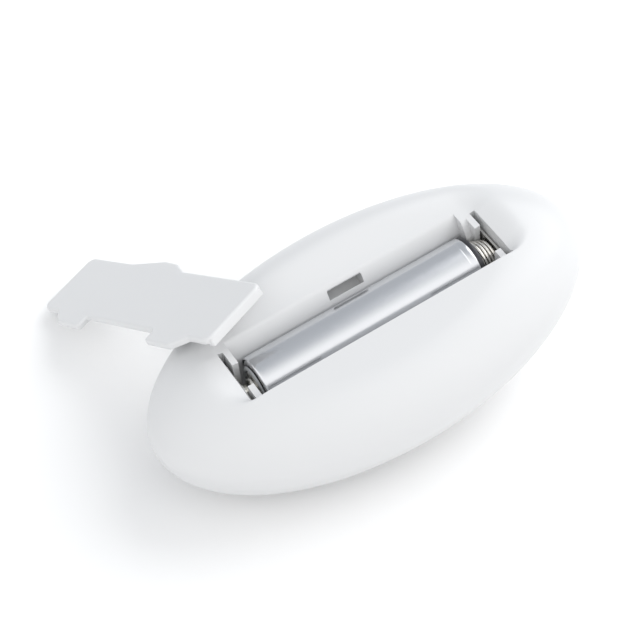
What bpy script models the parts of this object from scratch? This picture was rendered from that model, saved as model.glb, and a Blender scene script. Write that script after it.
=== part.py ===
"""Hand-held wireless read-out of a digital bathroom scale: an oval pebble lying on its
display, battery bay upwards, one AAA cell fitted and the battery door leaning on its side."""
import bpy
import bmesh
from math import cos, sin, pi, radians, sqrt
from mathutils import Euler, Matrix, Vector

MM = 0.001
GAP = 0.3

# Oval housing, half sizes in mm: a flat battery face, rounding off into an ellipsoid
HALF_L = 41.8
HALF_W = 21.1
TOP_H = 10.0
LOW_H = 20.6
PLATEAU = 0.60
ROLL_POWER = 1.9
WALL = 1.8

# Lie of the housing on its flat display facet
ROLL_DEG = 5.1
PITCH_DEG = -7.8
FACET_CUT = 2.2
SEAM_Z = 4.4

# Battery bay
SEAT_Z = TOP_H - 2.0
CELL_R = 5.2
CELL_Y = -0.4
CELL_Z = TOP_H - 1.65 - CELL_R
TROUGH_R = CELL_R + GAP
TROUGH_END = 23.5
GROOVE_IN = 24.6
GROOVE_OUT = 25.6
DOORWAY_TOP = 3.3
DOORWAY_LOW = {-1: -2.45, 1: -3.55}
LATCH_X = -0.5
LATCH_Y = (5.4, 6.6)

# Battery door
DOOR_L = 55.8
DOOR_W = 13.6
DOOR_T = 2.0
DOOR_SKIN = 1.2
DOOR_Y = 0.85
DOOR_CENTRE = (-27.82, 28.57, 0.17)
DOOR_TURN = (-0.332, -0.538, -1.2163)
GRIP = ((-13.0, 6.3), (-13.0, 6.8), (-8.4, 7.2), (-5.2, 7.75),
        (-0.6, 8.4), (0.6, 8.4), (5.3, 6.8), (5.3, 6.3))
HOOK_TAB = ((22.2, -5.6), (22.2, -6.8), (18.9, -9.2), (11.9, -9.2), (11.3, -8.6), (11.3, -5.6))

# Display stack and circuit board, heights above the rest plane
LENS_A = 12.9
LENS_B = 6.1
BOARD_X = 2.8
BOARD_A = 26.0
BOARD_B = 11.8
BOARD_Z = 6.8
BOARD_T = 1.2
BUTTON_X = (-17.8, 19.3)
BUTTON_R = 2.2

for old in list(bpy.data.objects):
    bpy.data.objects.remove(old, do_unlink=True)


def orientation():
    """Turn of the housing on the table and the place of its centre above the display facet."""
    turn = Euler((radians(ROLL_DEG), radians(PITCH_DEG), 0.0)).to_matrix()
    up = turn.transposed() @ Vector((0, 0, 1))
    semi = Vector((HALF_L ** 2, HALF_W ** 2, LOW_H ** 2))
    reach = sqrt(sum(s * u * u for s, u in zip(semi, up)))
    facet = Vector([-s * u / reach for s, u in zip(semi, up)]) * (1 - FACET_CUT / reach)
    return Matrix.Translation(-(turn @ facet)) @ turn.to_4x4()


WORLD = Matrix.Identity(4)
BODY = orientation()
DOOR = BODY @ Matrix.Translation(DOOR_CENTRE) @ Matrix.Rotation(
    Vector(DOOR_TURN).length, 4, Vector(DOOR_TURN).normalized())


def material(name, colour, roughness, metallic=0.0, alpha=1.0):
    made = bpy.data.materials.new(name)
    made.use_nodes = True
    shader = made.node_tree.nodes["Principled BSDF"]
    shader.inputs["Base Color"].default_value = (*colour, 1.0)
    shader.inputs["Roughness"].default_value = roughness
    shader.inputs["Metallic"].default_value = metallic
    shader.inputs["Alpha"].default_value = alpha
    made.diffuse_color = (*colour, alpha)
    made.roughness = roughness
    made.metallic = metallic
    return made


def mesh_object(name, verts, faces, frame=WORLD):
    """Closed mesh from points in mm, placed in its frame."""
    mesh = bpy.data.meshes.new(name)
    mesh.from_pydata([(frame @ Vector(v)) * MM for v in verts], [], faces)
    bm = bmesh.new()
    bm.from_mesh(mesh)
    bmesh.ops.recalc_face_normals(bm, faces=bm.faces)
    bm.to_mesh(mesh)
    bm.free()
    made = bpy.data.objects.new(name, mesh)
    bpy.context.scene.collection.objects.link(made)
    return made


def loft(name, rings, frame=WORLD, loop=False):
    """Skin over rings of equal count: capped at both ends, or closed round into a ring."""
    count = len(rings[0])
    verts = [p for ring in rings for p in ring]
    faces = []
    last = len(rings) if loop else len(rings) - 1
    for i in range(last):
        lower = i * count
        upper = ((i + 1) % len(rings)) * count
        for j in range(count):
            k = (j + 1) % count
            faces.append((lower + j, lower + k, upper + k, upper + j))
    if not loop:
        faces.append(tuple(range(count)))
        faces.append(tuple(range((len(rings) - 1) * count, len(rings) * count)))
    return mesh_object(name, verts, faces, frame)


def oval(a, b, z, count, cx=0.0, cy=0.0):
    return [(cx + a * cos(2 * pi * j / count), cy + b * sin(2 * pi * j / count), z) for j in range(count)]


def round_rect(half_x, half_y, radius, z, cx=0.0, cy=0.0, steps=5):
    ring = []
    for q, (sx, sy) in enumerate(((1, 1), (-1, 1), (-1, -1), (1, -1))):
        for s in range(steps + 1):
            t = pi / 2 * (q + s / steps)
            x = cx + sx * (half_x - radius) + radius * cos(t)
            y = cy + sy * (half_y - radius) + radius * sin(t)
            ring.append((x, y, z))
    return ring


def slab(name, ring, low, high, frame=WORLD):
    """Prism with the outline of ring between two heights."""
    return loft(name, [[(x, y, low) for x, y, _ in ring], [(x, y, high) for x, y, _ in ring]], frame)


def block(name, low, high, frame=WORLD):
    (x0, y0, z0), (x1, y1, z1) = low, high
    ring = [(x0, y0, 0), (x1, y0, 0), (x1, y1, 0), (x0, y1, 0)]
    return slab(name, ring, z0, z1, frame)


def turned_x(name, profile, y, z, frame, count=28, loop=False):
    """Piece turned about a line along X: profile holds (x, radius)."""
    rings = []
    for x, radius in profile:
        rings.append([(x, y + radius * cos(2 * pi * j / count), z + radius * sin(2 * pi * j / count))
                      for j in range(count)])
    return loft(name, rings, frame, loop)


def turned_z(name, profile, x, y, count=24, loop=False):
    """Piece turned about an upright line: profile holds (radius, height)."""
    return loft(name, [oval(r, r, h, count, x, y) for r, h in profile], WORLD, loop)


def tube(name, path, radius, frame=WORLD, count=8):
    """Round wire along a path of points."""
    points = [Vector(p) for p in path]
    rings = []
    side = None
    for i, point in enumerate(points):
        ahead = points[min(i + 1, len(points) - 1)] - points[max(i - 1, 0)]
        ahead.normalize()
        if side is None:
            side = ahead.orthogonal().normalized()
        side = (side - ahead * side.dot(ahead)).normalized()
        other = ahead.cross(side)
        turns = [2 * pi * j / count for j in range(count)]
        rings.append([point + side * radius * cos(a) + other * radius * sin(a) for a in turns])
    return loft(name, rings, frame)


def combine(target, tool, how):
    """Cut, join or keep the common part of two closed pieces; the tool is used up."""
    step = target.modifiers.new(how, "BOOLEAN")
    step.operation = how
    step.solver = "EXACT"
    step.object = tool
    bpy.context.view_layer.update()
    shaped = bpy.data.meshes.new_from_object(target.evaluated_get(bpy.context.evaluated_depsgraph_get()))
    target.modifiers.clear()
    target.data = shaped
    bpy.data.objects.remove(tool, do_unlink=True)


def finish(made, skin, smooth=0.0, origin=None):
    """Give a piece its material, its shading and its origin in mm."""
    made.data.materials.clear()
    made.data.materials.append(skin)
    if smooth:
        made.data.polygons.foreach_set("use_smooth", [True] * len(made.data.polygons))
        made.data.set_sharp_from_angle(angle=radians(smooth))
    if origin is not None:
        place = Vector(origin) * MM
        made.data.transform(Matrix.Translation(-place))
        made.location = place
    return made


shell_white = material("shell_white", (0.86, 0.86, 0.87), 0.32)
cover_white = material("cover_white", (0.84, 0.84, 0.85), 0.32)
door_white = material("door_white", (0.84, 0.84, 0.85), 0.36)
lens_clear = material("lens_clear", (0.75, 0.80, 0.82), 0.06, 0.0, 0.35)
mask_black = material("mask_black", (0.02, 0.02, 0.025), 0.4)
lcd_glass = material("lcd_glass", (0.42, 0.48, 0.42), 0.12)
reflector_white = material("reflector_white", (0.8, 0.8, 0.76), 0.5)
frame_white = material("frame_white", (0.75, 0.75, 0.74), 0.5)
zebra_pink = material("zebra_pink", (0.75, 0.45, 0.5), 0.7)
board_green = material("board_green", (0.03, 0.22, 0.08), 0.45)
chip_black = material("chip_black", (0.02, 0.02, 0.02), 0.5)
shield_tin = material("shield_tin", (0.72, 0.73, 0.74), 0.3, 1.0)
crystal_steel = material("crystal_steel", (0.7, 0.7, 0.7), 0.25, 1.0)
capacitor_black = material("capacitor_black", (0.04, 0.04, 0.07), 0.4)
resistor_blue = material("resistor_blue", (0.06, 0.07, 0.1), 0.45)
antenna_copper = material("antenna_copper", (0.72, 0.38, 0.22), 0.3, 1.0)
buzzer_black = material("buzzer_black", (0.03, 0.03, 0.03), 0.55)
screw_steel = material("screw_steel", (0.55, 0.56, 0.57), 0.35, 1.0)
button_grey = material("button_grey", (0.55, 0.57, 0.59), 0.5)
switch_black = material("switch_black", (0.05, 0.05, 0.05), 0.5)
contact_nickel = material("contact_nickel", (0.78, 0.77, 0.73), 0.28, 1.0)
spring_nickel = material("spring_nickel", (0.80, 0.78, 0.72), 0.25, 1.0)
wire_red = material("wire_red", (0.6, 0.03, 0.03), 0.5)
wire_black = material("wire_black", (0.02, 0.02, 0.02), 0.5)
can_steel = material("can_steel", (0.6, 0.6, 0.61), 0.3, 1.0)
sleeve_silver = material("sleeve_silver", (0.78, 0.79, 0.80), 0.28, 0.9)
cap_steel = material("cap_steel", (0.82, 0.82, 0.82), 0.22, 1.0)
seal_grey = material("seal_grey", (0.4, 0.41, 0.42), 0.6)
ring_dark = material("ring_dark", (0.09, 0.09, 0.1), 0.35, 0.6)


def pebble(name, inset, count, top_steps, low_steps):
    """The oval housing as a solid, shrunk by inset all round."""
    a = HALF_L - inset
    b = HALF_W - inset
    rings = []
    for i in range(top_steps):
        t = sin(pi / 2 * i / top_steps)
        r = PLATEAU + (1 - PLATEAU) * t
        z = (TOP_H - inset) * (1 - t ** ROLL_POWER) ** (1 / ROLL_POWER)
        rings.append(oval(a * r, b * r, z, count))
    for i in range(low_steps):
        t = pi / 2 * i / low_steps
        rings.append(oval(a * cos(t), b * cos(t), -(LOW_H - inset) * sin(t), count))
    rings.append(oval(a * 0.01, b * 0.01, -(LOW_H - inset), count))
    return loft(name, rings, BODY)


def keep_above(piece, z):
    combine(piece, block("below", (-60, -60, z - 60), (70, 90, z)), "DIFFERENCE")


def keep_below(piece, z):
    combine(piece, block("above", (-60, -60, z), (70, 90, z + 60)), "DIFFERENCE")


def cavity(name, inset):
    """Hollow inside the housing, with a flat floor over the display facet."""
    hollow = pebble(name, inset, 40, 5, 8)
    keep_above(hollow, WALL)
    return hollow


# Back shell: the whole pebble but its display cover, with the battery bay sunk in its flat face
back_shell = pebble("back_shell", 0.0, 80, 8, 11)
keep_above(back_shell, SEAM_Z + GAP)
combine(back_shell, cavity("hollow", WALL), "DIFFERENCE")
tray = pebble("tray", 0.7, 40, 5, 8)
combine(tray, block("tray_box", (-29.9, -11.5, -4.0), (29.9, 10.6, 12.0), BODY), "INTERSECT")
combine(back_shell, tray, "UNION")
bay_cutters = (
    slab("recess", round_rect(DOOR_L / 2 + GAP, DOOR_W / 2 + GAP, 1.9, 0, 0, DOOR_Y), SEAT_Z, 14.0, BODY),
    turned_x("trough", [(-TROUGH_END, TROUGH_R), (TROUGH_END, TROUGH_R)], CELL_Y, CELL_Z, BODY, 32),
    block("trough_mouth", (-TROUGH_END, CELL_Y - TROUGH_R, CELL_Z),
          (TROUGH_END, CELL_Y + TROUGH_R, 14.0), BODY),
    block("latch_slot", (LATCH_X - 3.3, LATCH_Y[0], 4.6), (LATCH_X + 3.3, LATCH_Y[1], 14.0), BODY),
    slab("grip_notch", [(x * 1.04, DOOR_Y + y * 1.05, 0) for x, y in GRIP], TOP_H - 1.5, 14.0, BODY),
)
for cutter in bay_cutters:
    combine(back_shell, cutter, "DIFFERENCE")
for side in (-1, 1):
    inner, outer = sorted((side * GROOVE_IN, side * GROOVE_OUT))
    combine(back_shell, block("groove", (inner, -5.9, -1.6), (outer, 5.6, 14.0), BODY), "DIFFERENCE")
    tail_slot = block("tail_slot", (inner, CELL_Y - 1.7, -6.0), (outer, CELL_Y + 1.7, -1.0), BODY)
    combine(back_shell, tail_slot, "DIFFERENCE")
    inner, outer = sorted((side * (TROUGH_END - 0.5), side * (GROOVE_IN + 0.5)))
    doorway = block("doorway", (inner, DOORWAY_LOW[side], CELL_Z - 4.0), (outer, DOORWAY_TOP, 14.0), BODY)
    combine(back_shell, doorway, "DIFFERENCE")
    inner, outer = sorted((side * 10.9, side * 22.6))
    combine(back_shell, block("hook_slot", (inner, -8.9, 7.6), (outer, -5.95, 9.4), BODY), "DIFFERENCE")
finish(back_shell, shell_white, 35)

# Front cover: shallow oval dish with the flat display facet, a lip, four posts and two button holes
front_cover = pebble("front_cover", 0.0, 80, 8, 11)
keep_below(front_cover, SEAM_Z)
keep_above(front_cover, 0.0)
combine(front_cover, cavity("hollow", WALL), "DIFFERENCE")
for inset, low, high in ((WALL - 0.5, 3.9, SEAM_Z), (WALL + GAP, 4.0, 6.2)):
    lip = cavity("lip", inset)
    keep_above(lip, low)
    keep_below(lip, high)
    combine(lip, cavity("lip_inside", 3.0), "DIFFERENCE")
    combine(front_cover, lip, "UNION")
POSTS = ((-15.6, 6.9), (-15.6, -6.9), (17.8, 7.0), (17.8, -7.0))
for x, y in POSTS:
    combine(front_cover, turned_z("post", [(1.6, 2.5), (1.6, BOARD_Z - GAP)], x, y, 12), "UNION")
    combine(front_cover, turned_z("pilot", [(0.9, 3.4), (0.9, 9.0)], x, y, 12), "DIFFERENCE")
combine(front_cover, slab("window", oval(LENS_A + GAP, LENS_B + GAP, 0, 48), -1, 3), "DIFFERENCE")
combine(front_cover, slab("rebate", oval(LENS_A + 1.3, LENS_B + 1.3, 0, 48), 0.8, 3), "DIFFERENCE")
for x in BUTTON_X:
    hole = [(BUTTON_R + GAP, -1), (BUTTON_R + GAP, 3.2), (BUTTON_R + 1.0, 3.2), (BUTTON_R + 1.0, 7)]
    combine(front_cover, turned_z("button_hole", hole, x, 0, 24), "DIFFERENCE")
finish(front_cover, cover_white, 35)

# Display: stepped clear lens, printed mask, glass cell, reflector, holder and contact strips
lens = [oval(LENS_A, LENS_B, 0.0, 48), oval(LENS_A, LENS_B, 1.1, 48),
        oval(LENS_A + 1, LENS_B + 1, 1.1, 48), oval(LENS_A + 1, LENS_B + 1, 1.7, 48)]
finish(loft("display_lens", lens), lens_clear, 30)
mask = slab("lens_mask", oval(LENS_A + 0.6, 6.5, 0, 48), 2.0, 2.2)
combine(mask, block("mask_window", (-10.5, -4.0, 1), (10.5, 4.0, 3)), "DIFFERENCE")
finish(mask, mask_black)
finish(block("lcd_panel", (-12, -5.25, 2.5), (12, 5.25, 3.6)), lcd_glass)
finish(block("lcd_reflector", (-12, -3.3, 3.9), (12, 3.3, 4.3)), reflector_white)
holder = block("lcd_frame", (-13.5, -6.5, 2.5), (13.5, 6.5, 6.4))
combine(holder, block("holder_hole", (-12.3, -5.6, 1), (12.3, 5.6, 8)), "DIFFERENCE")
finish(holder, frame_white)
for number, y in ((1, -4.4), (2, 4.4)):
    finish(block(f"zebra_strip_{number}", (-10.5, y - 0.7, 3.9), (10.5, y + 0.7, 6.5)), zebra_pink)

# Circuit board with its screws
board = slab("circuit_board", oval(BOARD_A, BOARD_B, 0, 48, BOARD_X), BOARD_Z, BOARD_Z + BOARD_T)
for x, y in POSTS:
    combine(board, turned_z("board_hole", [(1.2, 5), (1.2, 10)], x, y, 16), "DIFFERENCE")
finish(board, board_green)
TOP = BOARD_Z + BOARD_T + 0.15
for number, (x, y) in enumerate(POSTS, 1):
    profile = [(0.6, 4.2), (0.75, 4.6), (0.75, TOP), (1.9, TOP), (1.9, TOP + 0.5), (1.3, TOP + 1.0)]
    screw = turned_z(f"board_screw_{number}", profile, x, y, 12)
    for half_x, half_y in ((0.9, 0.18), (0.18, 0.9)):
        cross = block("cross", (x - half_x, y - half_y, TOP + 0.5), (x + half_x, y + half_y, TOP + 2))
        combine(screw, cross, "DIFFERENCE")
    finish(screw, screw_steel, 30)

# Components on the board's back
finish(slab("controller_chip", round_rect(3.6, 3.6, 0.4, 0, 1.0, 0.5, 3), TOP, TOP + 1.0), chip_black)
finish(slab("radio_shield", round_rect(4.0, 3.2, 0.5, 0, 11.5, -1.0, 3), TOP, TOP + 1.5), shield_tin)
finish(slab("crystal_can", round_rect(1.2, 3.4, 1.1, 0, -5.6, 4.5, 4), TOP, TOP + 2.2), crystal_steel, 30)
buzzer = [(4.4, TOP), (4.4, TOP + 1.9), (4.0, TOP + 2.2), (0.9, TOP + 2.2), (0.9, TOP + 1.2)]
finish(turned_z("buzzer", buzzer, -9.0, -3.2, 24), buzzer_black, 30)
for number, (x, y) in enumerate(((22.6, 2.4), (22.6, -2.6)), 1):
    profile = [(1.9, TOP), (2.1, TOP + 0.4), (2.1, TOP + 4.2), (1.8, TOP + 4.6)]
    finish(turned_z(f"capacitor_{number}", profile, x, y, 16), capacitor_black, 30)
for number, (x, y) in enumerate(((-1.5, 7.4), (1.5, 7.4), (4.5, 7.4), (7.5, 7.4)), 1):
    finish(block(f"resistor_{number}", (x - 0.8, y - 0.4, TOP), (x + 0.8, y + 0.4, TOP + 0.5)), resistor_blue)
antenna = [(17.0, 1.5, TOP + 0.6), (17.0, 4.0, TOP + 1.6), (15.5, 8.4, TOP + 1.8), (8.0, 9.6, TOP + 1.8),
           (0.0, 9.9, TOP + 1.8), (-7.0, 9.6, TOP + 1.8)]
finish(tube("antenna", antenna, 0.35), antenna_copper, 60)

# Two keys beside the display, each over its own switch under the board
for number, x in enumerate(BUTTON_X, 1):
    profile = [(BUTTON_R - 0.3, 0.15), (BUTTON_R, 0.35), (BUTTON_R, 3.6), (BUTTON_R + 0.6, 3.6),
               (BUTTON_R + 0.6, 4.1), (1.0, 4.1), (1.0, 4.5)]
    finish(turned_z(f"button_{number}", profile, x, 0, 24), button_grey, 30, (x, 0, 2.2))
    finish(block(f"button_switch_{number}", (x - 2.2, -2.2, 5.3), (x + 2.2, 2.2, 6.5)), switch_black)

# Contacts: two plates standing in the grooves, a domed boss at one end and a tapering coil at the other
for name, side in (("positive_plate", -1), ("negative_plate", 1)):
    inner, outer = sorted((side * 24.9, side * 25.3))
    plate = block(name, (inner, -4.4, -1.2), (outer, 4.2, 6.0), BODY)
    combine(plate, block("tail", (inner, CELL_Y - 1.2, -5.0), (outer, CELL_Y + 1.2, 0.0), BODY), "UNION")
    if side < 0:
        dome = [(-25.1, 1.7), (-24.4, 1.7), (-23.8, 1.4), (-23.6, 0.9)]
        dome = turned_x("dome", dome, CELL_Y, CELL_Z, BODY, 24)
        combine(plate, dome, "UNION")
    finish(plate, contact_nickel, 30)
turns = 3.6
coil = []
for i in range(59):
    t = i / 58
    radius = 3.4 - 1.4 * t
    angle = 2 * pi * turns * t
    coil.append((21.85 + 2.65 * t, CELL_Y + radius * cos(angle), CELL_Z + radius * sin(angle)))
finish(tube("negative_spring", coil, 0.3, BODY, 6), spring_nickel, 60)

# Leads from the plates' tails down to the board
down = BODY @ Vector((-25.1, CELL_Y, -5.3))
lead = [down, down + Vector((0.3, 0.0, -0.6)), (-17.0, -2.4, 9.8), (-16.2, -3.4, TOP + 0.7)]
finish(tube("red_wire", lead, 0.45), wire_red, 60)
down = BODY @ Vector((25.1, CELL_Y, -5.3))
lead = [down, down + Vector((0.0, 0.3, -0.8)), (29.0, 4.5, 12.0), (22.0, 6.4, 9.6), (20.8, 6.6, TOP + 0.7)]
finish(tube("black_wire", lead, 0.45), wire_black, 60)

# AAA cell: steel can, printed sleeve, raised terminal, seal and the bare rim at its flat end
CELL_ORIGIN = BODY @ Vector((-0.55, CELL_Y, CELL_Z))
can = [(-22.2, 4.0), (-21.9, 4.6), (-21.5, 4.85), (20.9, 4.85), (21.15, 4.6), (21.2, 4.1)]
finish(turned_x("battery_can", can, CELL_Y, CELL_Z, BODY), can_steel, 35, CELL_ORIGIN)
sleeve = [(-21.9, 5.0), (-21.75, CELL_R - 0.05), (-21.5, CELL_R),
          (20.1, CELL_R), (20.2, CELL_R - 0.05), (20.2, 5.0)]
finish(turned_x("battery_sleeve", sleeve, CELL_Y, CELL_Z, BODY, 28, True), sleeve_silver, 35, CELL_ORIGIN)
cap = [(-22.5, 2.9), (-22.7, 2.7), (-22.75, 1.95), (-23.1, 1.9), (-23.3, 1.5)]
finish(turned_x("battery_terminal", cap, CELL_Y, CELL_Z, BODY, 24), cap_steel, 35, CELL_ORIGIN)
seal = [(-22.3, 3.1), (-22.6, 3.1), (-22.6, 3.6), (-22.3, 3.9)]
finish(turned_x("battery_seal", seal, CELL_Y, CELL_Z, BODY, 28, True), seal_grey, 35, CELL_ORIGIN)
rim = [(20.3, 4.95), (20.3, 5.15), (20.9, 5.15), (21.1, 5.05), (21.1, 4.95)]
finish(turned_x("battery_rim", rim, CELL_Y, CELL_Z, BODY, 28, True), ring_dark, 35, CELL_ORIGIN)

# Battery door: flat cover with a lip under each end, two hook tabs on one long edge, and a low grip
# with a snap hook below it on the other
half_l = DOOR_L / 2
half_w = DOOR_W / 2
door = loft("battery_door", [
    round_rect(half_l - 0.5, half_w - 0.5, 1.3, 0.0),
    round_rect(half_l - 0.13, half_w - 0.13, 1.6, -0.15),
    round_rect(half_l, half_w, 1.7, -0.5),
    round_rect(half_l, half_w, 1.7, -DOOR_SKIN)], DOOR)
combine(door, slab("grip", [(x, y, 0) for x, y in GRIP], -DOOR_SKIN, -0.12, DOOR), "UNION")
for side in (-1, 1):
    lip = round_rect(0.7, half_w - 0.4, 0.5, 0, side * (half_l - 0.9), 0, 3)
    combine(door, slab("end_lip", lip, -DOOR_T, -0.7, DOOR), "UNION")
    tab = [(side * x, y, 0) for x, y in HOOK_TAB]
    combine(door, slab("hook_tab", tab, -2.0, -0.9, DOOR), "UNION")
combine(door, block("snap", (LATCH_X - 2.9, 4.7, -4.6), (LATCH_X + 2.9, 5.3, -0.8), DOOR), "UNION")
combine(door, block("barb", (LATCH_X - 2.9, 5.1, -4.4), (LATCH_X + 2.9, 5.6, -3.6), DOOR), "UNION")
finish(door, door_white, 35, DOOR @ Vector((0, 0, 0)))
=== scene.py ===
from math import cos, pi, radians, sin, sqrt

import bmesh
import bpy
from mathutils import Euler, Matrix, Vector


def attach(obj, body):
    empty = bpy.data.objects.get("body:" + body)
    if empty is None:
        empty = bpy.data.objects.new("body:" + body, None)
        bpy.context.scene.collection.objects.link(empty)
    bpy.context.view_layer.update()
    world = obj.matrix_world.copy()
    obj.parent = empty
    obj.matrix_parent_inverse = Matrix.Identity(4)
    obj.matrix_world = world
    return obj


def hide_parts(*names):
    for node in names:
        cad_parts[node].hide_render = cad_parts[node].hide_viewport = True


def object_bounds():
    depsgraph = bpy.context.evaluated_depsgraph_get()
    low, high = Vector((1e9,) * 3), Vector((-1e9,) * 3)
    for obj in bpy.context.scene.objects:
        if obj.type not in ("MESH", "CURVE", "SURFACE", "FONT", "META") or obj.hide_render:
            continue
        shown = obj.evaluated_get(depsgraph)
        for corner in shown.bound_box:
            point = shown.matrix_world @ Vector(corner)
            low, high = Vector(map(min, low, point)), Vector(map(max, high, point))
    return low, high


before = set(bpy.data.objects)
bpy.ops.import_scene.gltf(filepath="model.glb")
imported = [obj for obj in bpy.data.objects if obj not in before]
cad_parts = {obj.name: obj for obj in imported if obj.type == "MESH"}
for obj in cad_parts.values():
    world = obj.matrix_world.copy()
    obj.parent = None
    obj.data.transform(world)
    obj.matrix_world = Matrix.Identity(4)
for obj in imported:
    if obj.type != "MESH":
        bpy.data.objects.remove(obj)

cad_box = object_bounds()
MM = 0.001


# ---- Front cover ------------------------------------------------------------------------------------
# The shallow display side of the oval housing, injection moulded in gloss white ABS. It is a dish with a
# flat facet that the unit lies on, a lip that snaps inside the back shell, and four posts for the board.
HALF_L, HALF_W = 41.68, 21.06
TOP_H, LOW_H = 10.0, 20.6
PLATEAU, ROLL_POWER = 0.60, 1.9
WALL = 1.8
SEAM_Z = 4.4
SEAM_GAP = 0.12
LENS_A, LENS_B = 12.9, 6.1
KEY_X = (-17.8, 19.3)
KEY_R = 2.2
OVAL_STEPS = 96
POSTS = ((-15.6, 6.9), (-15.6, -6.9), (17.8, 7.0), (17.8, -7.0))
HOUSING = (Matrix.Translation((7.5228, 0.0774, 18.987))
           @ Euler((radians(5.1), radians(-7.8), 0.0)).to_matrix().to_4x4())
UPRIGHT = Matrix()
WHITE = (0.620, 0.625, 0.632)


def only(made):
    """Select one object alone and make it the active one."""
    bpy.ops.object.select_all(action="DESELECT")
    made.select_set(True)
    bpy.context.view_layer.objects.active = made


def pick(made, test):
    """In edit mode, select the vertices that pass the test, with the edges and faces between them."""
    bpy.ops.mesh.select_mode(type="VERT")
    bpy.ops.mesh.select_all(action="DESELECT")
    form = bmesh.from_edit_mesh(made.data)
    for vert in form.verts:
        vert.select_set(test(vert))
    form.select_flush(True)
    bmesh.update_edit_mesh(made.data)


def skin(name, rings, place=UPRIGHT, closed=False):
    """Extrude a circle's loop from ring to ring (points in mm), then cap both ends or join them up."""
    count = len(rings[0])
    bpy.ops.object.select_all(action="DESELECT")
    bpy.ops.mesh.primitive_circle_add(vertices=count, radius=MM)
    made = bpy.context.object
    made.name = name
    bpy.ops.object.mode_set(mode="EDIT")
    bpy.ops.mesh.select_mode(type="VERT")
    loop = list(range(count))
    for number, ring in enumerate(rings):
        if number:
            bpy.ops.mesh.extrude_region()
        form = bmesh.from_edit_mesh(made.data)
        form.verts.ensure_lookup_table()
        form.verts.index_update()
        if number:
            grown = []
            for i in loop:
                old = form.verts[i]
                beside = [edge.other_vert(old) for edge in old.link_edges]
                grown.append(next(vert.index for vert in beside if vert.select))
            loop = grown
        for i, point in zip(loop, ring):
            form.verts[i].co = (place @ Vector(point)) * MM
        bmesh.update_edit_mesh(made.data)
    ends = set(range(count)) | set(loop)
    if closed:
        pick(made, lambda v: v.index in ends)
        bpy.ops.mesh.select_mode(type="EDGE")
        bpy.ops.mesh.bridge_edge_loops()
    else:
        bpy.ops.mesh.edge_face_add()
        pick(made, lambda v: v.index < count)
        bpy.ops.mesh.edge_face_add()
    bpy.ops.mesh.select_all(action="SELECT")
    bpy.ops.mesh.normals_make_consistent(inside=False)
    bpy.ops.object.mode_set(mode="OBJECT")
    return made


def oval(a, b, z, count, cx=0.0, cy=0.0):
    return [(cx + a * cos(2 * pi * j / count), cy + b * sin(2 * pi * j / count), z) for j in range(count)]


def turned_z(name, profile, x, y, count=24, closed=False):
    """Piece turned about an upright line: the profile holds (radius, height)."""
    return skin(name, [oval(r, r, h, count, x, y) for r, h in profile], UPRIGHT, closed)


def turned_x(name, profile, y, z, place, count=96, closed=False):
    """Piece turned about a line along X: the profile holds (x, radius)."""
    rings = [[(x, y + r * cos(2 * pi * j / count), z + r * sin(2 * pi * j / count)) for j in range(count)]
             for x, r in profile]
    return skin(name, rings, place, closed)


def brick(name, low, high, place=UPRIGHT, soften=0.0):
    """Rectangular lump between two corners, with softened edges where the real one has them."""
    bpy.ops.object.select_all(action="DESELECT")
    middle = [(a + b) / 2 * MM for a, b in zip(low, high)]
    sides = [(b - a) * MM for a, b in zip(low, high)]
    bpy.ops.mesh.primitive_cube_add(size=1.0, location=middle, scale=sides)
    made = bpy.context.object
    made.name = name
    bpy.ops.object.transform_apply(location=True, rotation=True, scale=True)
    if soften:
        bpy.ops.object.mode_set(mode="EDIT")
        bpy.ops.mesh.select_all(action="SELECT")
        bpy.ops.mesh.bevel(offset=soften * MM, segments=3, affect="EDGES")
        bpy.ops.object.mode_set(mode="OBJECT")
    scaled = place.copy()
    scaled.translation = place.translation * MM
    made.data.transform(scaled)
    return made


def combine(made, tool, how):
    """Cut a piece with a tool, join them, or keep what they share. The tool is used up."""
    step = made.modifiers.new("combine", "BOOLEAN")
    step.operation = how
    step.solver = "EXACT"
    step.object = tool
    only(made)
    bpy.ops.object.modifier_apply(modifier=step.name)
    bpy.data.objects.remove(tool, do_unlink=True)
    return made


def trim(made, height, keep):
    """Saw a piece level at a height above the table, keep the part below or above, and close the cut."""
    only(made)
    bpy.ops.object.mode_set(mode="EDIT")
    bpy.ops.mesh.select_all(action="SELECT")
    bpy.ops.mesh.bisect(plane_co=(0, 0, height * MM), plane_no=(0, 0, 1), use_fill=True,
                        clear_inner=keep == "above", clear_outer=keep == "below", threshold=1e-7)
    bpy.ops.object.mode_set(mode="OBJECT")
    return made


def break_edges(made, width, test, segments=2):
    """Round off the sharp edges whose two ends pass the test, as a mould's edges are."""
    only(made)
    bpy.ops.object.mode_set(mode="EDIT")
    bpy.ops.mesh.select_mode(type="EDGE")
    bpy.ops.mesh.select_all(action="DESELECT")
    form = bmesh.from_edit_mesh(made.data)
    for edge in form.edges:
        sharp = len(edge.link_faces) == 2 and edge.calc_face_angle() > radians(35)
        edge.select_set(sharp and all(test(v.co / MM) for v in edge.verts))
    bmesh.update_edit_mesh(made.data)
    bpy.ops.mesh.bevel(offset=width * MM, segments=segments, affect="EDGES", clamp_overlap=True)
    bpy.ops.object.mode_set(mode="OBJECT")


def smooth(made, degrees=38):
    """Smooth shading that large flat faces keep flat."""
    only(made)
    bpy.ops.object.shade_smooth_by_angle(angle=radians(degrees))
    even = made.modifiers.new("even", "WEIGHTED_NORMAL")
    even.keep_sharp = True
    bpy.ops.object.modifier_apply(modifier=even.name)


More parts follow.
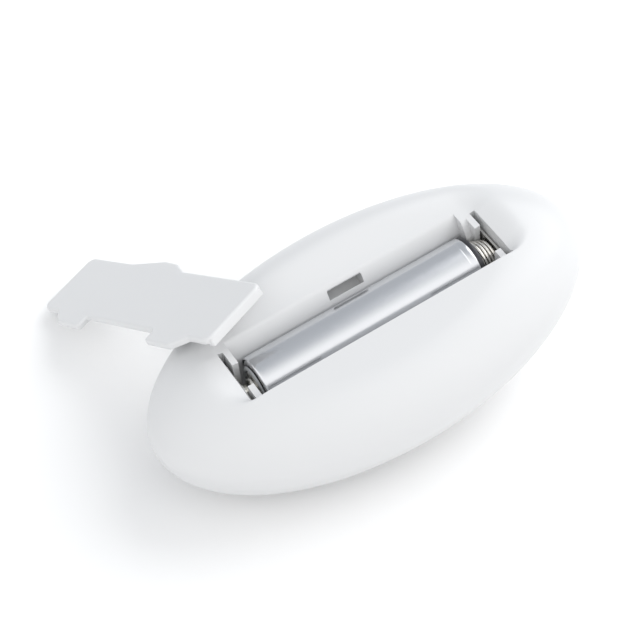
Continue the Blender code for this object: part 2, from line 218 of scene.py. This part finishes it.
def pebble_rings(inset, count, top_steps, low_steps):
    """The oval housing's form: a flat battery face that rolls off into an ellipsoid."""
    a, b = HALF_L - inset, HALF_W - inset
    rings = []
    for i in range(top_steps):
        t = sin(pi / 2 * i / top_steps)
        r = PLATEAU + (1 - PLATEAU) * t
        rings.append(oval(a * r, b * r, (TOP_H - inset) * (1 - t ** ROLL_POWER) ** (1 / ROLL_POWER), count))
    for i in range(low_steps + 1):
        t = min(pi / 2 * i / low_steps, pi / 2 - 0.01)
        rings.append(oval(a * cos(t), b * cos(t), -(LOW_H - inset) * sin(t), count))
    return rings


def surface_grain():
    """Node group: fine uneven tone, roughness and height, as any moulded or rolled surface has."""
    group = bpy.data.node_groups.new("surface_grain", "ShaderNodeTree")
    sockets = (("Colour", "NodeSocketColor"), ("Tone", "NodeSocketFloat"), ("Roughness", "NodeSocketFloat"),
               ("Spread", "NodeSocketFloat"), ("Scale", "NodeSocketFloat"))
    for label, kind in sockets:
        group.interface.new_socket(name=label, in_out="INPUT", socket_type=kind)
    for label, kind in (("Colour", "NodeSocketColor"), ("Roughness", "NodeSocketFloat"),
                        ("Height", "NodeSocketFloat")):
        group.interface.new_socket(name=label, in_out="OUTPUT", socket_type=kind)
    add, join = group.nodes.new, group.links.new
    given, result = add("NodeGroupInput"), add("NodeGroupOutput")
    where = add("ShaderNodeTexCoord")
    broad, fine = add("ShaderNodeTexNoise"), add("ShaderNodeTexNoise")
    broad.inputs["Scale"].default_value = 45.0
    broad.inputs["Detail"].default_value = 3.0
    fine.inputs["Detail"].default_value = 2.0
    join(where.outputs["Object"], broad.inputs["Vector"])
    join(where.outputs["Object"], fine.inputs["Vector"])
    join(given.outputs["Scale"], fine.inputs["Scale"])
    shade = add("ShaderNodeMath")
    shade.operation = "MULTIPLY_ADD"
    join(broad.outputs["Fac"], shade.inputs[0])
    join(given.outputs["Tone"], shade.inputs[1])
    shade.inputs[2].default_value = 1.0
    level = add("ShaderNodeMath")
    level.operation = "SUBTRACT"
    join(shade.outputs[0], level.inputs[0])
    half = add("ShaderNodeMath")
    half.operation = "MULTIPLY"
    half.inputs[1].default_value = 0.5
    join(given.outputs["Tone"], half.inputs[0])
    join(half.outputs[0], level.inputs[1])
    tint = add("ShaderNodeVectorMath")
    tint.operation = "SCALE"
    join(given.outputs["Colour"], tint.inputs[0])
    join(level.outputs[0], tint.inputs["Scale"])
    join(tint.outputs[0], result.inputs["Colour"])
    spread = add("ShaderNodeMath")
    spread.operation = "MULTIPLY_ADD"
    join(fine.outputs["Fac"], spread.inputs[0])
    join(given.outputs["Spread"], spread.inputs[1])
    join(given.outputs["Roughness"], spread.inputs[2])
    join(spread.outputs[0], result.inputs["Roughness"])
    join(fine.outputs["Fac"], result.inputs["Height"])
    return group


GRAIN = surface_grain()


def finish_of(name, colour, roughness, metallic=0.0, tone=0.04, spread=0.08, scale=900.0, bump=0.02,
              coat=0.0, sheen_level=0.5):
    """Material with a grain of its own in colour, roughness and height."""
    made = bpy.data.materials.new(name)
    made.use_nodes = True
    tree = made.node_tree
    shader = tree.nodes["Principled BSDF"]
    grain = tree.nodes.new("ShaderNodeGroup")
    grain.node_tree = GRAIN
    for label, value in (("Colour", (*colour, 1.0)), ("Tone", tone), ("Roughness", roughness - spread / 2),
                         ("Spread", spread), ("Scale", scale)):
        grain.inputs[label].default_value = value
    relief = tree.nodes.new("ShaderNodeBump")
    relief.inputs["Strength"].default_value = 0.3
    relief.inputs["Distance"].default_value = bump * MM
    tree.links.new(grain.outputs["Colour"], shader.inputs["Base Color"])
    tree.links.new(grain.outputs["Roughness"], shader.inputs["Roughness"])
    tree.links.new(grain.outputs["Height"], relief.inputs["Height"])
    tree.links.new(relief.outputs["Normal"], shader.inputs["Normal"])
    shader.inputs["Metallic"].default_value = metallic
    shader.inputs["Coat Weight"].default_value = coat
    shader.inputs["Specular IOR Level"].default_value = sheen_level
    return made


def dress(made, material):
    made.data.materials.clear()
    made.data.materials.append(material)


def repaint(names, material):
    """Give kept nodes their finish."""
    for name in names:
        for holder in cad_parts[name].material_slots:
            holder.material = material


gloss_white = finish_of("gloss_white", WHITE, 0.30, tone=0.012, spread=0.06, scale=1500.0, bump=0.004,
                        sheen_level=0.3)


def inner_pebble(inset, low, high=None):
    """Coarser copy of the housing's form, shrunk by inset and cut level below and, if asked, above."""
    made = skin("inner", pebble_rings(inset, 64, 6, 10), HOUSING)
    trim(made, low, "above")
    if high is not None:
        trim(made, high, "below")
    return made


front_cover = skin("front_cover_shell", pebble_rings(0.0, 192, 4, 44)[4:], HOUSING)
trim(front_cover, SEAM_Z, "below")
trim(front_cover, 0.0, "above")
break_edges(front_cover, 0.25, lambda p: abs(p.z) < 0.01, 3)
break_edges(front_cover, 0.15, lambda p: abs(p.z - SEAM_Z) < 0.01)
combine(front_cover, inner_pebble(WALL, WALL), "DIFFERENCE")
for inset, low, high in ((WALL - 0.5, 3.9, SEAM_Z - 0.05), (WALL + 0.3, 4.0, 6.2)):
    lip = combine(inner_pebble(inset, low, high), inner_pebble(3.0, low - 1), "DIFFERENCE")
    combine(front_cover, lip, "UNION")
for x, y in POSTS:
    post = turned_z("post", [(1.45, 1.92), (1.6, 2.4), (1.6, 6.4), (1.5, 6.5)], x, y)
    combine(front_cover, post, "UNION")
    combine(front_cover, turned_z("pilot", [(0.9, 3.4), (0.9, 9.0)], x, y, 16), "DIFFERENCE")
WINDOW_EDGE = ((0.2, -1), (0.2, 0.85), (1.3, 0.85), (1.3, 3))                                    # out, height
window = skin("window", [oval(LENS_A + out, LENS_B + out, z, OVAL_STEPS) for out, z in WINDOW_EDGE])
combine(front_cover, window, "DIFFERENCE")
for x in KEY_X:
    hole = [(KEY_R + 0.2, -1), (KEY_R + 0.2, 3.2), (KEY_R + 1.0, 3.2), (KEY_R + 1.0, 7)]
    combine(front_cover, turned_z("key_hole", hole, x, 0, 48), "DIFFERENCE")
smooth(front_cover)
dress(front_cover, gloss_white)
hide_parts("front_cover")
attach(front_cover, "housing")


# ---- Display ----------------------------------------------------------------------------------------
# A clear oval window with a step that seats in the cover, a black printed mask behind it, and the liquid
# crystal cell on its white reflector, held in a frame over two pink rubber contact strips.
LENS_EDGE = ((-0.25, 0.0), (-0.07, 0.07), (0, 0.25), (0, 1.1), (0.9, 1.1), (1, 1.2), (1, 1.7))   # out, height
lens = skin("display_window", [oval(LENS_A + out, LENS_B + out, z, OVAL_STEPS) for out, z in LENS_EDGE])
smooth(lens)
clear_acrylic = bpy.data.materials.new("clear_acrylic")
clear_acrylic.use_nodes = True
clear = clear_acrylic.node_tree.nodes["Principled BSDF"]
clear.inputs["Base Color"].default_value = (0.93, 0.95, 0.96, 1.0)
clear.inputs["Transmission Weight"].default_value = 1.0
clear.inputs["IOR"].default_value = 1.49
scratches = clear_acrylic.node_tree.nodes.new("ShaderNodeTexNoise")
scratches.inputs["Scale"].default_value = 600.0
scratch_range = clear_acrylic.node_tree.nodes.new("ShaderNodeMapRange")
scratch_range.inputs["To Min"].default_value = 0.02
scratch_range.inputs["To Max"].default_value = 0.09
scratch_place = clear_acrylic.node_tree.nodes.new("ShaderNodeTexCoord")
for source, target in ((scratch_place.outputs["Object"], scratches.inputs["Vector"]),
                       (scratches.outputs["Fac"], scratch_range.inputs["Value"]),
                       (scratch_range.outputs["Result"], clear.inputs["Roughness"])):
    clear_acrylic.node_tree.links.new(source, target)
dress(lens, clear_acrylic)
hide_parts("display_lens")
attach(lens, "housing")
repaint(["lens_mask"], finish_of("printed_black", (0.012, 0.012, 0.014), 0.42, tone=0.3, scale=2200.0))
repaint(["lcd_panel"], finish_of("lcd_glass", (0.40, 0.46, 0.40), 0.10, tone=0.06, spread=0.03, bump=0.002))
repaint(["lcd_reflector"],
        finish_of("reflector_film", (0.78, 0.78, 0.72), 0.42, 0.2, scale=3000.0, bump=0.01))
repaint(["lcd_frame"], finish_of("holder_white", (0.72, 0.72, 0.70), 0.48))
repaint(["zebra_strip_1", "zebra_strip_2"],
        finish_of("zebra_rubber", (0.74, 0.42, 0.48), 0.7, tone=0.25, scale=5000.0))


# ---- Circuit board and its parts --------------------------------------------------------------------
# An oval glass-fibre board under green solder resist, screwed to the posts. It carries the controller, the
# radio under a tin shield, a crystal, a buzzer, capacitors, resistors, a wire antenna and two key switches.
repaint(["circuit_board"], finish_of("solder_resist", (0.02, 0.20, 0.07), 0.40, tone=0.25, scale=2500.0))
repaint(["controller_chip"],
        finish_of("chip_epoxy", (0.016, 0.016, 0.017), 0.55, tone=0.3, scale=6000.0, bump=0.03))
repaint(["radio_shield"], finish_of("tin_plate", (0.70, 0.71, 0.72), 0.28, 1.0, tone=0.10, scale=1200.0))
repaint(["crystal_can"], finish_of("crystal_steel", (0.66, 0.66, 0.67), 0.24, 1.0, tone=0.08))
repaint(["buzzer"], finish_of("buzzer_black", (0.02, 0.02, 0.02), 0.58, tone=0.3, scale=3000.0, bump=0.03))
repaint(["capacitor_1", "capacitor_2"], finish_of("capacitor_film", (0.03, 0.03, 0.06), 0.36, tone=0.2))
resistors = [f"resistor_{n}" for n in range(1, 5)]
repaint(resistors, finish_of("resistor_glaze", (0.035, 0.045, 0.07), 0.40, tone=0.3, scale=6000.0))
repaint(["antenna"], finish_of("enamelled_copper", (0.62, 0.28, 0.14), 0.28, 1.0, tone=0.12))
board_screws = [f"board_screw_{n}" for n in range(1, 5)]
repaint(board_screws, finish_of("screw_steel", (0.50, 0.51, 0.52), 0.34, 1.0, tone=0.12))
repaint(["button_switch_1", "button_switch_2"],
        finish_of("switch_black", (0.035, 0.035, 0.035), 0.5, tone=0.2))
repaint(["red_wire"], finish_of("red_pvc", (0.50, 0.015, 0.015), 0.42, tone=0.12))
repaint(["black_wire"], finish_of("black_pvc", (0.012, 0.012, 0.012), 0.42, tone=0.3))


# ---- Keys -------------------------------------------------------------------------------------------
# Two grey rubber-feel keys beside the window, turned discs with a shallow thumb dish and a flange that
# stops them in the cover. Each presses its own switch under the board.
key_grey = finish_of("key_grey", (0.50, 0.52, 0.54), 0.55, tone=0.06, scale=2600.0, bump=0.03)
for number, x, body in ((1, KEY_X[0], "key_left"), (2, KEY_X[1], "key_right")):
    dish = [(0.2, 0.42), (0.9, 0.36), (1.5, 0.24), (1.75, 0.16), (KEY_R - 0.25, 0.15), (KEY_R - 0.08, 0.2)]
    flange = [(KEY_R, 0.35), (KEY_R, 3.6), (KEY_R + 0.5, 3.6), (KEY_R + 0.6, 3.7), (KEY_R + 0.6, 4.1)]
    stem = [(1.0, 4.1), (1.0, 4.4), (0.9, 4.5)]
    key = turned_z(f"key_{number}", dish + flange + stem, x, 0, 48)
    smooth(key)
    dress(key, key_grey)
    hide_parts(f"button_{number}")
    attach(key, body)


# ---- Back shell -------------------------------------------------------------------------------------
# The deep half of the housing, one gloss white ABS moulding. Its flat face is sunk into a softly dished
# bay for the door, with the cell's trough, the contact grooves and the latch slot cut in the bay floor.
SEAT_Z = 8.0
BAY_X, BAY_Y, BAY_R = 26.6, 7.1, 3.0
BAY_MIDDLE = 1.15
NEAR_FOOT, NEAR_BROW = 0.04, 0.22
END_FOOT, END_BROW = 2.9, 4.2
FAR_FOOT, FAR_BROW = 1.4, 6.6
CELL_Y, CELL_Z, CELL_R = -0.4, 3.15, 5.2
TROUGH_R = 5.35
TROUGH_END = 23.5
ROLL_OUT, ROLL_DEEP, ROLL_FULL = 2.2, 3.5, 1.55
GROOVE, GROOVE_Y = (24.6, 25.6), (-5.9, 5.6)
DOORWAY_FAR = 2.45
DOORWAY_NEAR = {-1: -2.4, 1: -3.35}
PILLAR_X, PILLAR_Y = 22.3, 3.0
SLOT_LOW, SLOT_HIGH = (-3.8, 5.55, 4.6), (2.8, 6.5, 12.5)
POCKET_LOW, POCKET_HIGH = (-3.9, 5.5, 4.2), (2.9, 9.0, 7.2)
SIDE_STEPS, CORNER_STEPS, LENGTH_STEPS = 10, 14, 30
CORNER_FROM, CORNER_TO = 24.0, 48.0


def height(x, y):
    """Height of the rolled-off battery face over the housing's middle."""
    t = min(max((sqrt((x / HALF_L) ** 2 + (y / HALF_W) ** 2) - PLATEAU) / (1 - PLATEAU), 0.0), 1.0)
    return TOP_H * (1 - t ** ROLL_POWER) ** (1 / ROLL_POWER)


def bay_spokes():
    """Round the bay: a point on its outline, the way out of it, and the oval's angle that it meets."""
    quarter = []
    for i in range(SIDE_STEPS):
        share = i / SIDE_STEPS
        quarter.append((BAY_X, (BAY_Y - BAY_R) * share, 1.0, 0.0, CORNER_FROM * share))
    for i in range(CORNER_STEPS):
        share = i / CORNER_STEPS
        turn = pi / 2 * share
        quarter.append((BAY_X - BAY_R + BAY_R * cos(turn), BAY_Y - BAY_R + BAY_R * sin(turn),
                        cos(turn), sin(turn), CORNER_FROM + (CORNER_TO - CORNER_FROM) * share))
    for i in range(LENGTH_STEPS + 1):
        share = i / LENGTH_STEPS
        quarter.append(((BAY_X - BAY_R) * (1 - share), BAY_Y, 0.0, 1.0,
                        CORNER_TO + (90 - CORNER_TO) * share))
    spokes = []
    for sx, sy in ((1, 1), (-1, 1), (-1, -1), (1, -1)):
        run = quarter[:-1] if sx * sy > 0 else quarter[:0:-1]
        for x, y, nx, ny, angle in run:
            rim = radians(angle)
            spokes.append((sx * x, sy * y + BAY_MIDDLE, sx * nx, sy * ny,
                           sx * HALF_L * cos(rim), sy * HALF_W * sin(rim)))
    return spokes


def bay_rings():
    """Rings from the bay's flat floor, up its soft wall, over the battery face and down to the bottom."""
    spokes = bay_spokes()
    soft = []
    for _, _, _, ny, _, _ in spokes:
        foot, brow = (FAR_FOOT, FAR_BROW) if ny > 0 else (NEAR_FOOT, NEAR_BROW)
        soft.append((END_FOOT + (foot - END_FOOT) * abs(ny), END_BROW + (brow - END_BROW) * abs(ny)))
    rings = []
    for share in (-0.05, *[i / 14 for i in range(15)]):
        ring = []
        for (x, y, nx, ny, _, _), (foot, brow) in zip(spokes, soft):
            out = share * (foot + brow) - foot
            px, py = x + nx * out, y + ny * out
            rise = max(share, 0.0) ** 2 * (3 - 2 * max(share, 0.0))
            ring.append((px, py, SEAT_Z + (height(px, py) - SEAT_Z) * rise))
        rings.append(ring)
    top = rings[-1]
    steps = 30
    for i in range(1, steps + 1):
        share = sin(pi / 2 * i / steps)
        ring = []
        for (px, py, _), (_, _, _, _, ex, ey) in zip(top, spokes):
            qx, qy = px + (ex - px) * share, py + (ey - py) * share
            ring.append((qx, qy, height(qx, qy) if i < steps else 0.0))
        rings.append(ring)
    low_steps = 26
    for i in range(1, low_steps + 1):
        t = min(pi / 2 * i / low_steps, pi / 2 - 0.01)
        rings.append([(ex * cos(t), ey * cos(t), -LOW_H * sin(t)) for _, _, _, _, ex, ey in spokes])
    return rings


back_shell = skin("back_shell_moulding", bay_rings(), HOUSING)
trim(back_shell, SEAM_Z + SEAM_GAP, "above")
break_edges(back_shell, 0.15, lambda p: abs(p.z - SEAM_Z - SEAM_GAP) < 0.01)

TRAY_LOW, TRAY_HIGH = (-29.9, -11.5, -4.0), (29.9, 10.6, 12.0)
tool = combine(inner_pebble(WALL, SEAM_Z - 1), brick("tray", TRAY_LOW, TRAY_HIGH, HOUSING), "DIFFERENCE")
trough = turned_x("trough", [(-TROUGH_END, TROUGH_R), (TROUGH_END, TROUGH_R)], CELL_Y, CELL_Z, HOUSING, 96)
near_wall, far_wall = CELL_Y - TROUGH_R + 0.002, CELL_Y + TROUGH_R - 0.002


def rolled_brow(y, out, deep):
    """Section of a wall that rolls over, away from the trough, onto the bay's floor."""
    return [(y + out * i / 12, SEAT_Z + 0.02 - deep * (1 - i / 12) ** ROLL_FULL) for i in range(13)]


def prism(name, section, low, high):
    return skin(name, [[(x, y, z) for y, z in section] for x in (low, high)], HOUSING)


mouth = prism("mouth", [(near_wall, 14.0), (near_wall, CELL_Z), (far_wall, CELL_Z),
                        *rolled_brow(far_wall, ROLL_OUT, ROLL_DEEP), (far_wall + ROLL_OUT + 0.1, 14.0)],
              -TROUGH_END + 0.002, TROUGH_END - 0.002)
bay_tools = [trough, mouth, brick("latch_slot", SLOT_LOW, SLOT_HIGH, HOUSING),
             brick("latch_pocket", POCKET_LOW, POCKET_HIGH, HOUSING)]
for side in (-1, 1):
    for label, low, high in (
            ("groove", (GROOVE[0], GROOVE_Y[0], -1.6), (GROOVE[1], GROOVE_Y[1], 12.0)),
            ("tail_slot", (GROOVE[0], CELL_Y - 1.7, -6.0), (GROOVE[1], CELL_Y + 1.7, -1.0)),
            ("doorway", (TROUGH_END - 0.5, DOORWAY_NEAR[side], CELL_Z - 4.0),
             (GROOVE[0] + 0.5, DOORWAY_FAR, 13.0)),
            ("hook_slot", (10.9, -8.9, 8.1), (22.6, -5.7, 8.8))):
        near, far = sorted((side * low[0], side * high[0]))
        bay_tools.append(brick(label, (near, *low[1:]), (far, *high[1:]), HOUSING))
for part in bay_tools:
    combine(tool, part, "UNION")
pillar = prism("pillar", [(9.0, 16.0), (9.0, -3.5), (PILLAR_Y, -3.5), *rolled_brow(PILLAR_Y, 2.2, 3.0),
                          (PILLAR_Y + 2.3, 16.0)], PILLAR_X, GROOVE[0] - 0.2)
combine(tool, pillar, "DIFFERENCE")
combine(back_shell, tool, "DIFFERENCE")
TO_HOUSING = HOUSING.inverted()
break_edges(back_shell, 0.12, lambda p: abs((TO_HOUSING @ p).z - SEAT_Z) < 0.004)
smooth(back_shell)
dress(back_shell, gloss_white)
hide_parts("back_shell")
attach(back_shell, "housing")


# ---- Contacts ---------------------------------------------------------------------------------------
# Two nickel-plated steel plates stand in the grooves, one with a pressed dome for the cell's tip. The other
# carries a coil of spring wire that tapers back from the cell's flat end.
nickel = finish_of("nickel_plate", (0.72, 0.71, 0.68), 0.26, 1.0, tone=0.12, spread=0.12, scale=1800.0)
repaint(["positive_plate", "negative_plate"], nickel)
WIRE_R, WIRE_SIDES = 0.3, 12
TURNS = 3.6
COIL_FROM, COIL_TO = 21.85, 24.5
COIL_WIDE, COIL_TIGHT = 3.4, 2.5
STEPS_A_TURN = 40


def coil_point(t):
    angle = 2 * pi * TURNS * t
    radius = COIL_WIDE + (COIL_TIGHT - COIL_WIDE) * t
    return Vector((COIL_FROM + (COIL_TO - COIL_FROM) * t,
                   CELL_Y + radius * cos(angle), CELL_Z + radius * sin(angle)))


coil_rings = []
coil_steps = int(TURNS * STEPS_A_TURN)
for i in range(coil_steps + 1):
    centre = coil_point(i / coil_steps)
    along = (coil_point((i + 0.5) / coil_steps) - coil_point((i - 0.5) / coil_steps)).normalized()
    out = (centre - Vector((centre.x, CELL_Y, CELL_Z))).normalized()
    out = (out - along * out.dot(along)).normalized()
    across = along.cross(out)
    taper = WIRE_R * (0.6 if i in (0, coil_steps) else 1.0)
    turns = [2 * pi * j / WIRE_SIDES for j in range(WIRE_SIDES)]
    coil_rings.append([centre + out * taper * cos(a) + across * taper * sin(a) for a in turns])
spring = skin("cell_spring", coil_rings, HOUSING)
smooth(spring, 50)
dress(spring, finish_of("spring_nickel", (0.76, 0.74, 0.70), 0.22, 1.0, tone=0.1, spread=0.1, scale=2500.0))
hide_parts("negative_spring")
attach(spring, "housing")


# ---- Cell -------------------------------------------------------------------------------------------
# An AAA cell: a drawn steel can in a shrunk silver film that curls over its shoulder, a raised nickel
# terminal in a grey seal at one end, and the bare can with a crimped rim at the flat end, the rim painted
# near-black as painted shade and dark reflection.
BAND_X = 18.9
silver_film = finish_of("silver_film", (0.65, 0.66, 0.68), 0.24, 0.9, tone=0.03, spread=0.06, scale=700.0,
                        bump=0.006)
bare_steel = finish_of("bare_steel", (0.58, 0.58, 0.59), 0.28, 1.0, tone=0.08)
cell_pieces = (
    ("cell_can", "battery_can", "can", False, bare_steel,
     [(-22.15, 3.9), (-22.1, 4.35), (-21.85, 4.7), (-21.5, 4.85), (20.7, 4.85), (20.95, 4.8), (21.12, 4.65),
      (21.2, 4.4), (21.2, 3.4), (21.1, 3.2)]),
    ("cell_film", "battery_sleeve", "sleeve", True, silver_film,
     [(-21.95, 4.9), (-21.98, 4.98), (-21.9, 5.07), (-21.72, 5.14), (-21.4, CELL_R - 0.01), (-21.0, CELL_R),
      (BAND_X - 0.14, CELL_R), (BAND_X - 0.1, CELL_R - 0.03), (BAND_X + 0.02, CELL_R - 0.03),
      (BAND_X + 0.06, CELL_R), (20.05, CELL_R), (20.15, CELL_R - 0.03), (20.2, CELL_R - 0.1), (20.2, 4.9)]),
    ("cell_terminal", "battery_terminal", "can", False, nickel,
     [(-22.45, 2.95), (-22.6, 2.85), (-22.68, 2.6), (-22.7, 2.1), (-22.78, 1.98), (-23.1, 1.92),
      (-23.24, 1.8), (-23.3, 1.5), (-23.3, 0.4)]),
    ("cell_seal", "battery_seal", "seal", True, finish_of("seal_grey", (0.34, 0.35, 0.36), 0.6, tone=0.15),
     [(-22.3, 3.1), (-22.52, 3.1), (-22.6, 3.2), (-22.6, 3.5), (-22.5, 3.75), (-22.3, 3.9)]),
    # The crimped rim is real, but its near-black colour is painted shade that stands in for the shadow and
    # dark reflection at the can's flat end.
    ("cell_rim", "battery_rim", "rim", True,
     finish_of("rim_painted_shade", (0.045, 0.045, 0.05), 0.3, 0.4, tone=0.2),
     [(20.3, 4.9), (20.3, 5.1), (20.36, 5.14), (20.9, 5.14), (21.05, 5.08), (21.1, 4.96), (21.1, 4.9)]),
)
for name, node, slot, closed, material, profile in cell_pieces:
    piece = turned_x(name, profile, CELL_Y, CELL_Z, HOUSING, 128, closed)
    smooth(piece, 40)
    dress(piece, material)
    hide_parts(node)
    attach(piece, "battery")


# ---- Battery door -----------------------------------------------------------------------------------
# A thin gloss white ABS cover with a low finger grip on one long edge and two hook tabs on the other, a
# deeper lip under each end, and a snap hook below the grip. It lies loose, leaning on the housing's side.
DOOR_L, DOOR_W = 55.7, 13.54
DOOR_SKIN, LIP_DEPTH = 1.15, 2.0
lean = Vector((-0.332, -0.538, -1.2163))
DOOR = (HOUSING @ Matrix.Translation((-27.82, 28.57, 0.17))
        @ Matrix.Rotation(lean.length, 4, lean.normalized()))
END_X, EDGE_Y = DOOR_L / 2, DOOR_W / 2
right_tab = [(11.3, -EDGE_Y, 0.5), (11.3, -9.2, 0.7), (18.9, -9.2, 0.8), (22.2, -EDGE_Y, 0.8)]
left_tab = [(-x, y, r) for x, y, r in reversed(right_tab)]
grip = [(4.4, EDGE_Y, 2.0), (0.6, 8.3, 1.5), (-3.4, 8.5, 3.0), (-13.0, EDGE_Y, 8.0)]
CORNER_R = 1.7
door_corners = [(END_X, -EDGE_Y, CORNER_R), (END_X, EDGE_Y, CORNER_R), *grip,
                (-END_X, EDGE_Y, CORNER_R), (-END_X, -EDGE_Y, CORNER_R), *left_tab, *right_tab]


def rounded_outline(corners, steps=7):
    """Outline through corners, each turned on its own radius: points with the way out of each."""
    outline = []
    for i, (x, y, radius) in enumerate(corners):
        here = Vector((x, y))
        before = (Vector(corners[i - 1][:2]) - here).normalized()
        after = (Vector(corners[(i + 1) % len(corners)][:2]) - here).normalized()
        opening = before.angle(after)
        reach = radius / sin(opening / 2)
        centre = here + (before + after).normalized() * reach
        convex = before.x * after.y - before.y * after.x < 0
        start = here + before * (radius / (sin(opening / 2) / cos(opening / 2))) - centre
        end = here + after * (radius / (sin(opening / 2) / cos(opening / 2))) - centre
        sweep = start.angle_signed(end)
        for k in range(steps + 1):
            spoke = start.copy()
            spoke.rotate(Matrix.Rotation(-sweep * k / steps, 2))
            way = spoke.normalized() * (1 if convex else -1)
            outline.append((centre + spoke, way))
    return outline


def offset_ring(outline, out, z):
    return [(p.x + n.x * out, p.y + n.y * out, z) for p, n in outline]


plate = rounded_outline(door_corners)
door_profile = [(-0.62, 0.0), (-0.45, -0.01), (-0.28, -0.06), (-0.13, -0.16), (-0.03, -0.32), (0.0, -0.5),
                (0.0, -DOOR_SKIN + 0.12), (-0.04, -DOOR_SKIN + 0.04), (-0.14, -DOOR_SKIN)]
door = skin("bay_door", [offset_ring(plate, out, z) for out, z in door_profile], DOOR)
for side in (-1, 1):
    edge = sorted((side * (END_X - 0.02), side * (END_X - 1.45)))
    lip = brick("lip", (edge[0], -EDGE_Y + 0.6, -LIP_DEPTH), (edge[1], EDGE_Y - 0.6, -0.55), DOOR, 0.25)
    combine(door, lip, "UNION")
combine(door, brick("snap", (-3.4, 4.7, -4.6), (2.4, 5.3, -0.8), DOOR, 0.15), "UNION")
combine(door, brick("barb", (-3.35, 5.1, -4.45), (2.35, 5.6, -3.6), DOOR, 0.12), "UNION")
smooth(door)
# The door is the housing's gloss white ABS. Its colour is set a little lighter than WHITE as painted light,
# to make up for the shade that falls on the leaning door.
dress(door, finish_of("door_white", (0.630, 0.635, 0.642), 0.32, tone=0.012, spread=0.06, scale=1500.0,
                      bump=0.004, sheen_level=0.3))
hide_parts("battery_door")
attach(door, "door")


# ---- Table and light --------------------------------------------------------------------------------
# A plain white table top, one large soft box high on the right, and an even white room that is a little
# darker high up behind the object, so that bright metal shows its form.
TABLE_HALF = 3.0
bpy.ops.object.select_all(action="DESELECT")
bpy.ops.mesh.primitive_plane_add(size=2 * TABLE_HALF, location=(0, 0, min(cad_box[0].z, 0.0) - 0.00002))
table = bpy.context.object
table.name = "table_top"
dress(table, finish_of("table_white", (0.87, 0.87, 0.87), 0.6, tone=0.004, spread=0.04, scale=300.0,
                       bump=0.002))

bpy.ops.object.light_add(type="AREA", location=(0.62, 0.12, 0.62))
soft_box = bpy.context.object
soft_box.name = "soft_box"
soft_box.data.shape = "DISK"
soft_box.data.size = 0.9
soft_box.data.energy = 4.3
soft_box.rotation_euler = (-Vector(soft_box.location)).to_track_quat("-Z", "Y").to_euler()

ROOM_LEVEL = 1.42
HIGH_BACK = (0.16, 0.64, 0.75)
room = bpy.data.worlds.new("room")
bpy.context.scene.world = room
room.use_nodes = True
sky = room.node_tree
where = sky.nodes.new("ShaderNodeTexCoord")
toward = sky.nodes.new("ShaderNodeVectorMath")
toward.operation = "DOT_PRODUCT"
toward.inputs[1].default_value = Vector(HIGH_BACK).normalized()
fall = sky.nodes.new("ShaderNodeMapRange")
fall.interpolation_type = "SMOOTHSTEP"
fall.inputs["From Min"].default_value = 0.28
fall.inputs["From Max"].default_value = 0.96
tones = sky.nodes.new("ShaderNodeMix")
tones.data_type = "RGBA"
tones.inputs["A"].default_value = (1.0, 1.0, 1.0, 1.0)
tones.inputs["B"].default_value = (0.37, 0.39, 0.415, 1.0)
sky.links.new(where.outputs["Generated"], toward.inputs[0])
sky.links.new(toward.outputs["Value"], fall.inputs["Value"])
sky.links.new(fall.outputs["Result"], tones.inputs["Factor"])
sky.links.new(tones.outputs["Result"], sky.nodes["Background"].inputs["Color"])
sky.nodes["Background"].inputs["Strength"].default_value = ROOM_LEVEL
bpy.context.scene.view_settings.view_transform = "Standard"

# The camera stands in front, to the left, 47 degrees above the table, with a long lens
camera_axes = Matrix(((0.8484, 0.3872, -0.3609), (-0.5293, 0.6209, -0.5782), (0.0002, 0.6815, 0.7318)))
bpy.ops.object.camera_add(location=(-0.10244, -0.16039, 0.23041), rotation=camera_axes.to_euler())
camera = bpy.context.object
camera.name = "camera"
camera.data.lens = 95.625
camera.data.sensor_width = 36.0
camera.data.clip_start = 0.01
bpy.context.scene.camera = camera
